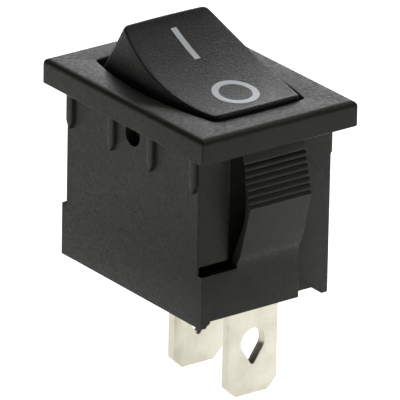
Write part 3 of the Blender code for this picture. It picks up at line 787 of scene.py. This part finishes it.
def build_clip(name, sign, material, node):
    """A snap clip in one piece with the band at its foot, which carries it from the long wall."""
    band_face = BAND_HALF_LENGTH + BAND_PROUD
    ramp = smooth_line([CLIP_APEX] + list(CLIP_RAMP) + [(band_face, CLIP_FOOT)])
    back = smooth_line([(BAND_BACK, CLIP_FOOT)] + list(CLIP_BACK))
    outline = [(sign * x, z) for x, z in ridge_face() + ramp[1:] + back]
    clip = prism(name, outline, "Y", -CLIP_HALF_WIDTH, CLIP_HALF_WIDTH, CLIP_EDGE)
    x = sorted((sign * BAND_BACK, sign * band_face))
    face = [
        (-BODY_HALF_WIDTH + BAND_SETBACK, BAND_TOP),
        (-CLIP_HALF_WIDTH - BAND_RISE_FROM, BAND_TOP),
        (-CLIP_HALF_WIDTH + BAND_RISE_TO, BAND_TOP + BAND_RISE),
        (CLIP_HALF_WIDTH - BAND_RISE_TO, BAND_TOP + BAND_RISE),
        (BAND_RIGHT, BAND_TOP),
        (BAND_RIGHT, BAND_BOTTOM),
        (-BODY_HALF_WIDTH + BAND_SETBACK, BAND_BOTTOM),
    ]
    band = prism("band", face, "X", *x, BAND_EDGE)
    combine(clip, [band], "UNION")
    tidy(clip)
    finish_piece(clip, name, material, None, [node])
    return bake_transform(clip)


# -------------------------------------------------------------------- rocker

def rocker_top(x):
    """Height of the rocker's dished top above the pivot."""
    return ROCKER_TOP_END_Z - ROCKER_DIP * (1 - (x / SWELL_LENGTH) ** 2)


def rocker_plan(z, wall):
    """The rocker's outline at a height; its walls spread downward."""
    share = (ROCKER_TOP_END_Z - z) / (ROCKER_TOP_END_Z - ROCKER_SKIRT[1])
    return pillow(
        ROCKER_TOP_HALF_LENGTH + share * (ROCKER_SKIRT[0] - ROCKER_TOP_HALF_LENGTH) - wall,
        ROCKER_HALF_WIDTH + share * ROCKER_FLARE - wall,
        ROCKER_TAPER - share * ROCKER_TAPER_LOSS,
        ROCKER_BULGE * (1 - share),
        ROCKER_CORNER - share * ROCKER_CORNER_LOSS,
    )


def edge_radius(x):
    """Radius of the rocker's top edge, larger round the ends."""
    rise = (abs(x) - ROCKER_END_EDGE_FROM) / (ROCKER_TOP_HALF_LENGTH - ROCKER_END_EDGE_FROM)
    rise = min(1.0, max(0.0, rise))
    return ROCKER_SIDE_EDGE + (ROCKER_END_EDGE - ROCKER_SIDE_EDGE) * rise**2


def rocker_rim(wall, cap, degrees):
    """One ring of the rocker's rounded top edge: 0 degrees is on the wall and 90 on the top."""
    angle = math.radians(degrees)
    amounts = []
    points = []
    heights = []
    for i, (x, _) in enumerate(rocker_plan(ROCKER_TOP_END_Z, wall)):
        radius = edge_radius(x)
        z = rocker_top(x) - cap - radius * (1 - math.sin(angle))
        points.append(rocker_plan(z, wall)[i])
        heights.append(z)
        amounts.append(radius * (1 - math.cos(angle)))
    return [(x, y, z) for (x, y), z in zip(inset(points, amounts), heights)]


def rocker_body(name, wall=0.0, cap=0.0, low=None):
    """The rocker's outer form, or with a low end the smaller form of its hollow."""
    bottom = ROCKER_SKIRT[1]
    rings = []
    if low is not None:
        rings.append([(x, y, low) for x, y in rocker_plan(bottom, wall)])
    base = ROCKER_TOP_END_Z - ROCKER_DIP - ROCKER_END_EDGE - cap
    steps = 6
    for i in range(steps):
        z = bottom + (base - bottom) * i / steps
        rings.append([(x, y, z) for x, y in rocker_plan(z, wall)])
    for i in range(steps + 1):
        rings.append(rocker_rim(wall, cap, 90 * i / steps))
    rim = rings[-1]
    layers = 18
    for i in range(1, layers):
        share = 1 - i / layers
        rings.append([(x * share, y * share, rocker_top(x * share) - cap) for x, y, z in rim])
    return loft(name, rings)


def into_rocker_frame(obj):
    """Moves a piece drawn about the pivot to the rocker's rest position."""
    turn = Matrix.Rotation(math.radians(ROCKER_TILT), 4, "Y")
    obj.data.transform(Matrix.Translation(PIVOT * MM) @ turn)
    return obj


def build_rocker(material):
    """The rocker: a dished cap with walls, pivot pins and the plunger's tube."""
    rocker = rocker_body("rocker_button")
    ear = [
        (-ROCKER_EAR_FOOT_HALF_LENGTH, ROCKER_SKIRT[1] + ROOT),
        (-ROCKER_EAR_FOOT_HALF_LENGTH, ROCKER_SKIRT[1]),
        (-ROCKER_EAR_HALF_LENGTH, ROCKER_EAR_BOTTOM),
        (ROCKER_EAR_HALF_LENGTH, ROCKER_EAR_BOTTOM),
        (ROCKER_EAR_FOOT_HALF_LENGTH, ROCKER_SKIRT[1]),
        (ROCKER_EAR_FOOT_HALF_LENGTH, ROCKER_SKIRT[1] + ROOT),
    ]
    outer = ROCKER_HALF_WIDTH - ROCKER_EAR_SETBACK
    combine(rocker, [prism("ears", ear, "Y", -outer, outer)], "UNION")
    hollow = rocker_body("hollow", ROCKER_WALL, ROCKER_CAP, ROCKER_EAR_BOTTOM - OVERCUT)
    combine(rocker, [hollow], "DIFFERENCE")
    root = ROCKER_HALF_WIDTH - ROCKER_WALL / 2
    tools = []
    for sign in (-1, 1):
        limits = sorted((sign * root, sign * PIN_END))
        tools.append(prism("pin", circle(PIN_RADIUS, 40), "Y", *limits, PIN_EDGE))
    ceiling = rocker_top(0.0) - ROCKER_CAP
    tools.append(prism("tube", circle(TUBE_RADIUS), "Z", TUBE_BOTTOM, ceiling + TUBE_ROOT))
    combine(rocker, tools, "UNION")
    bore = prism("bore", circle(TUBE_BORE), "Z", TUBE_BOTTOM - OVERCUT, ceiling - BORE_TOP_WALL)
    combine(rocker, [bore], "DIFFERENCE")
    into_rocker_frame(rocker)
    return finish_piece(rocker, "rocker_button", material, "rocker", ["rocker"], 25.0)


def build_spring(material):
    """The plunger's coil spring, drawn at one length; the real one shortens as the plunger goes up its tube.
    """
    top = rocker_top(0.0) - ROCKER_CAP - SPRING_TOP_GAP
    steps = SPRING_TURNS * 24
    rings = []
    for i in range(steps + 1):
        share = i / steps
        angle = 2 * math.pi * SPRING_TURNS * share
        outward = Vector((math.cos(angle), math.sin(angle), 0.0))
        centre = outward * SPRING_RADIUS + Vector((0.0, 0.0, top + (SPRING_SEAT - top) * share))
        ring = []
        for across, up in circle(SPRING_WIRE, 10):
            ring.append(centre + outward * across + Vector((0.0, 0.0, up)))
        rings.append(ring)
    spring = into_rocker_frame(loft("plunger_coil", rings))
    finish_piece(spring, "plunger_coil", material, None, ["plunger_spring"], 60.0)
    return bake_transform(spring)


def mark_shell(columns):
    """A thin closed layer on the rocker's top, from columns of (x, y) points across the mark."""
    bm = bmesh.new()
    layers = []
    for lift in (MARK_LIFT - MARK_THICKNESS, MARK_LIFT):
        layers.append([[bm.verts.new((x, y, rocker_top(x) + lift)) for x, y in column] for column in columns])
    low, high = layers
    rows = len(columns[0])
    last = len(columns) - 1
    for i in range(last):
        for j in range(rows - 1):
            bm.faces.new((high[i][j], high[i + 1][j], high[i + 1][j + 1], high[i][j + 1]))
            bm.faces.new((low[i][j], low[i][j + 1], low[i + 1][j + 1], low[i + 1][j]))
        for j in (0, rows - 1):
            bm.faces.new((low[i][j], low[i + 1][j], high[i + 1][j], high[i][j]))
    return bm, low, high, rows, last


def ring_mark(material):
    """The OFF mark: a flat printed ring."""
    columns = []
    steps = 72
    for i in range(steps + 1):
        angle = 2 * math.pi * i / steps
        column = []
        for j in range(4):
            radius = RING_INNER + (RING_OUTER - RING_INNER) * j / 3
            column.append((RING_CENTRE_X + radius * math.cos(angle), radius * math.sin(angle)))
        columns.append(column)
    bm, *_ = mark_shell(columns)
    bmesh.ops.remove_doubles(bm, verts=bm.verts, dist=1e-5)
    mark = add_object("off_mark", bm)
    into_rocker_frame(mark)
    return finish_piece(mark, "off_mark", material, "rocker")


def bar_mark(material):
    """The ON mark: a flat printed bar."""
    columns = []
    steps = 24
    for i in range(steps + 1):
        x = BAR_FROM + (BAR_TO - BAR_FROM) * i / steps
        columns.append([(x, BAR_HALF_WIDTH * (j - 1.5) / 1.5) for j in range(4)])
    bm, low, high, rows, last = mark_shell(columns)
    for i in (0, last):
        for j in range(rows - 1):
            bm.faces.new((low[i][j], low[i][j + 1], high[i][j + 1], high[i][j]))
    mark = add_object("on_mark", bm)
    into_rocker_frame(mark)
    return finish_piece(mark, "on_mark", material, "rocker")


# ----------------------------------------------------------------- terminals

def tab_outline(top):
    """A tab's (y, z) outline up to a height, with a chamfered tip."""
    inner = TAB_HALF_WIDTH - TAB_CHAMFER
    shoulder = TAB_TIP + TAB_CHAMFER
    right = [(inner, TAB_TIP), (TAB_HALF_WIDTH, shoulder), (TAB_HALF_WIDTH, top)]
    return right + [(-y, z) for y, z in reversed(right)]


def eye_cutter(x):
    """The tab's eye: round above and pointed below."""
    points = arc((0.0, EYE_Z), EYE_RADIUS, -30, 210, 28)
    points += arc((0.0, EYE_POINT + EYE_POINT_RADIUS), EYE_POINT_RADIUS, 210, 330, 4)
    return prism("eye", points, "X", x - OVERCUT, x + OVERCUT)


def build_common_terminal(material):
    """The middle terminal: a tab below, and above it a fulcrum between two ears."""
    half = TAB_THICKNESS / 2
    ear = FULCRUM_Z + EAR_HEIGHT
    top = [(TAB_HALF_WIDTH, ear), (EAR_INNER, ear), (EAR_INNER, FULCRUM_Z)]
    outline = tab_outline(COMMON_SHOULDER)
    middle = len(outline) // 2
    outline = outline[:middle] + top + [(-y, z) for y, z in reversed(top)] + outline[middle:]
    terminal = prism("common_tab", outline, "X", COMMON_X - half, COMMON_X + half)
    tools = [eye_cutter(COMMON_X)]
    for sign in (-1, 1):
        wedge = [
            (COMMON_X, FULCRUM_Z),
            (COMMON_X + sign * half, FULCRUM_Z - half),
            (COMMON_X + sign * 2 * half, FULCRUM_Z - half),
            (COMMON_X + sign * 2 * half, FULCRUM_Z + GROOVE_ABOVE),
            (COMMON_X, FULCRUM_Z + GROOVE_ABOVE),
        ]
        tools.append(prism("wedge", wedge, "Y", -EAR_INNER, EAR_INNER))
    combine(terminal, tools, "DIFFERENCE")
    tidy(terminal)
    round_edges(terminal, TAB_EDGE, 3)
    return finish_piece(terminal, "common_tab", material, "housing", ["common_terminal"])


def build_load_terminal(material):
    """The terminal near the OFF end, bent over at its top to carry the fixed contact."""
    half = TAB_THICKNESS / 2
    outer = LOAD_X + half
    inner = LOAD_X - half
    radius = LOAD_BEND_RADIUS
    inner_radius = radius - TAB_THICKNESS
    outline = [(inner, TAB_TIP), (outer, TAB_TIP)]
    outline += arc((outer - radius, LOAD_TOP - radius), radius, 0, 90)
    outline += [(LOAD_TAB_END, LOAD_TOP), (LOAD_TAB_END, LOAD_TOP - TAB_THICKNESS)]
    outline += arc((inner - inner_radius, LOAD_TOP - radius), inner_radius, 90, 0)
    terminal = prism("load_tab", outline, "Y", -TAB_HALF_WIDTH, TAB_HALF_WIDTH)
    tools = [eye_cutter(LOAD_X)]
    for sign in (-1, 1):
        triangle = [
            (sign * (TAB_HALF_WIDTH - TAB_CHAMFER), TAB_TIP),
            (sign * TAB_HALF_WIDTH, TAB_TIP + TAB_CHAMFER),
            (sign * (TAB_HALF_WIDTH + OVERCUT), TAB_TIP + TAB_CHAMFER),
            (sign * (TAB_HALF_WIDTH + OVERCUT), TAB_TIP - OVERCUT),
            (sign * (TAB_HALF_WIDTH - TAB_CHAMFER), TAB_TIP - OVERCUT),
        ]
        tools.append(prism("corner", triangle, "X", LOAD_X - OVERCUT, LOAD_X + OVERCUT))
    low, high = cad_box("fixed_contact")
    hole = circle(CONTACT_HOLE_RADIUS, 40, ((low.x + high.x) / 2, 0.0))
    tools.append(prism("hole", hole, "Z", LOAD_TOP - CONTACT_HOLE_DEPTH, LOAD_TOP + OVERCUT))
    combine(terminal, tools, "DIFFERENCE")
    tidy(terminal)
    round_edges(terminal, TAB_EDGE, 3)
    return finish_piece(terminal, "load_tab", material, "housing", ["load_terminal"])


def dress_node(node, material):
    """Gives a CAD node that stays in view its finished material."""
    mesh = frame["nodes"][node].data
    mesh.materials.clear()
    mesh.materials.append(material)
    for polygon in mesh.polygons:
        polygon.material_index = 0


# ----------------------------------------------------------------- the scene

def add_camera():
    """The camera at the switch's front left corner, seen from a little above."""
    azimuth = math.radians(VIEW_AZIMUTH)
    elevation = math.radians(VIEW_ELEVATION)
    roll = math.radians(VIEW_ROLL)
    level = math.cos(elevation)
    back = Vector((math.sin(azimuth) * level, -math.cos(azimuth) * level, math.sin(elevation)))
    right = Vector((math.cos(azimuth), math.sin(azimuth), 0.0))
    up = back.cross(right)
    rolled_right = right * math.cos(roll) + up * math.sin(roll)
    rolled_up = up * math.cos(roll) - right * math.sin(roll)
    data = bpy.data.cameras.new("camera")
    data.lens = VIEW_LENS
    data.sensor_width = SENSOR
    data.clip_start = 0.01
    data.clip_end = 10.0
    camera = bpy.data.objects.new("camera", data)
    place = back * VIEW_DISTANCE + rolled_right * AIM_RIGHT + rolled_up * AIM_UP
    turn = Matrix((rolled_right, rolled_up, back)).transposed().to_4x4()
    camera.matrix_world = Matrix.Translation(place * MM) @ turn
    bpy.context.scene.collection.objects.link(camera)
    bpy.context.scene.camera = camera


def add_light(name, azimuth, elevation, width, height, radiance):
    """A soft rectangular light in a direction from the switch, by its brightness as seen from there."""
    data = bpy.data.lights.new(name, "AREA")
    data.shape = "RECTANGLE"
    data.size = width * MM
    data.size_y = height * MM
    data.energy = radiance * math.pi * data.size * data.size_y
    light = bpy.data.objects.new(name, data)
    level = math.cos(math.radians(elevation))
    across = math.radians(azimuth)
    rise = math.sin(math.radians(elevation))
    direction = Vector((math.cos(across) * level, math.sin(across) * level, rise))
    light.location = direction * LIGHT_DISTANCE * MM
    light.rotation_euler = direction.to_track_quat("Z", "Y").to_euler()
    bpy.context.scene.collection.objects.link(light)


def add_stage():
    """A white light-table floor, a dim surround and soft studio lights."""
    n = Nodes("floor_white")
    n.tint(n.spread(n.noise(40.0, 2.0), 0.0, 1.0), (0.9, 0.9, 0.9), (0.94, 0.94, 0.94))
    n.shader.inputs["Roughness"].default_value = 0.8
    n.shader.inputs["Emission Color"].default_value = (1.0, 1.0, 1.0, 1.0)
    n.shader.inputs["Emission Strength"].default_value = FLOOR_GLOW
    limits = (-FLOOR_HALF_SIZE, FLOOR_HALF_SIZE)
    floor = block("floor", limits, limits, (TAB_TIP - FLOOR_THICKNESS, TAB_TIP - FLOOR_GAP))
    floor.data.materials.append(n.material)
    world = bpy.data.worlds.new("studio")
    world.use_nodes = True
    background = world.node_tree.nodes["Background"]
    background.inputs["Color"].default_value = (1.0, 1.0, 1.0, 1.0)
    background.inputs["Strength"].default_value = WORLD_STRENGTH
    scene = bpy.context.scene
    scene.world = world
    scene.view_settings.view_transform = "Standard"
    for light in STUDIO_LIGHTS:
        add_light(*light)


def main():
    """Makes every piece, the stage and the camera."""
    shades = ((0.014, 0.0145, 0.0105), (0.018, 0.0185, 0.014))
    black = moulded_plastic("housing_black", *shades, rough=0.5, grain=0.11, depth=0.008, specular=0.2)
    shades = ((0.014, 0.0145, 0.0115), (0.02, 0.0205, 0.017))
    button = moulded_plastic("rocker_black", *shades, rough=0.46, grain=0.09, depth=0.055, specular=0.3)
    ink = printing_ink("mark_ink", (0.84, 0.89, 0.94), (0.88, 0.93, 0.97))
    plated = plated_metal("terminal_plating", (0.56, 0.53, 0.43), (0.68, 0.66, 0.57), 0.34)
    copper = plain_metal("blade_copper", (0.68, 0.42, 0.26), (0.78, 0.52, 0.35), 0.3)
    silver = plain_metal("contact_silver", (0.78, 0.78, 0.77), (0.88, 0.88, 0.87), 0.25)
    steel = plain_metal("spring_steel", (0.42, 0.42, 0.44), (0.55, 0.55, 0.57), 0.28)
    acetal = moulded_plastic("plunger_acetal", (0.76, 0.76, 0.72), (0.84, 0.84, 0.8), 0.35, 0.2, 0.002)
    build_housing(black)
    build_clip("snap_clip_off_end_arm", 1, black, "snap_clip_off_end")
    build_clip("snap_clip_on_end_arm", -1, black, "snap_clip_on_end")
    build_rocker(button)
    ring_mark(ink)
    bar_mark(ink)
    build_common_terminal(plated)
    build_load_terminal(plated)
    dress_node("contact_blade", copper)
    dress_node("moving_contact", silver)
    dress_node("fixed_contact", silver)
    dress_node("plunger", acetal)
    build_spring(steel)
    add_stage()
    add_camera()


main()
